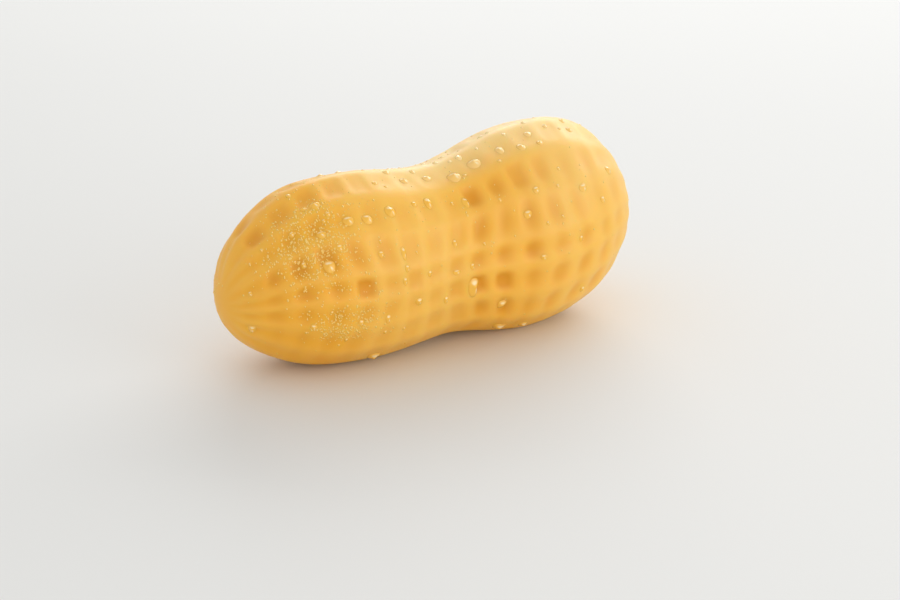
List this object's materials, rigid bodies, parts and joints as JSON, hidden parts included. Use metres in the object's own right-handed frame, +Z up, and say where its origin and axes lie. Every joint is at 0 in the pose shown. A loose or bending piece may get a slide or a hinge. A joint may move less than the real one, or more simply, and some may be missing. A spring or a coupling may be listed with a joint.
{
  "type": "peanut-shaped mousse cake",
  "caption": "Moulded mousse cake in the shape of a peanut shell: uneven lobes, a waist, long ribs and rows of shallow dents, resting on flats under its lobes.",
  "frame": {"origin": "on the plane that the cake rests on, under the middle of its box", "axes": "+X along the cake's length towards the large lobe, +Z up"},
  "size_m": [0.106, 0.0438, 0.0472],
  "materials": {
    "mousse": "satin, slightly waxy, faintly translucent golden coat"
  },
  "bodies": {
    "root": {"peanut_mousse": "mousse"}
  },
  "joints": []
}
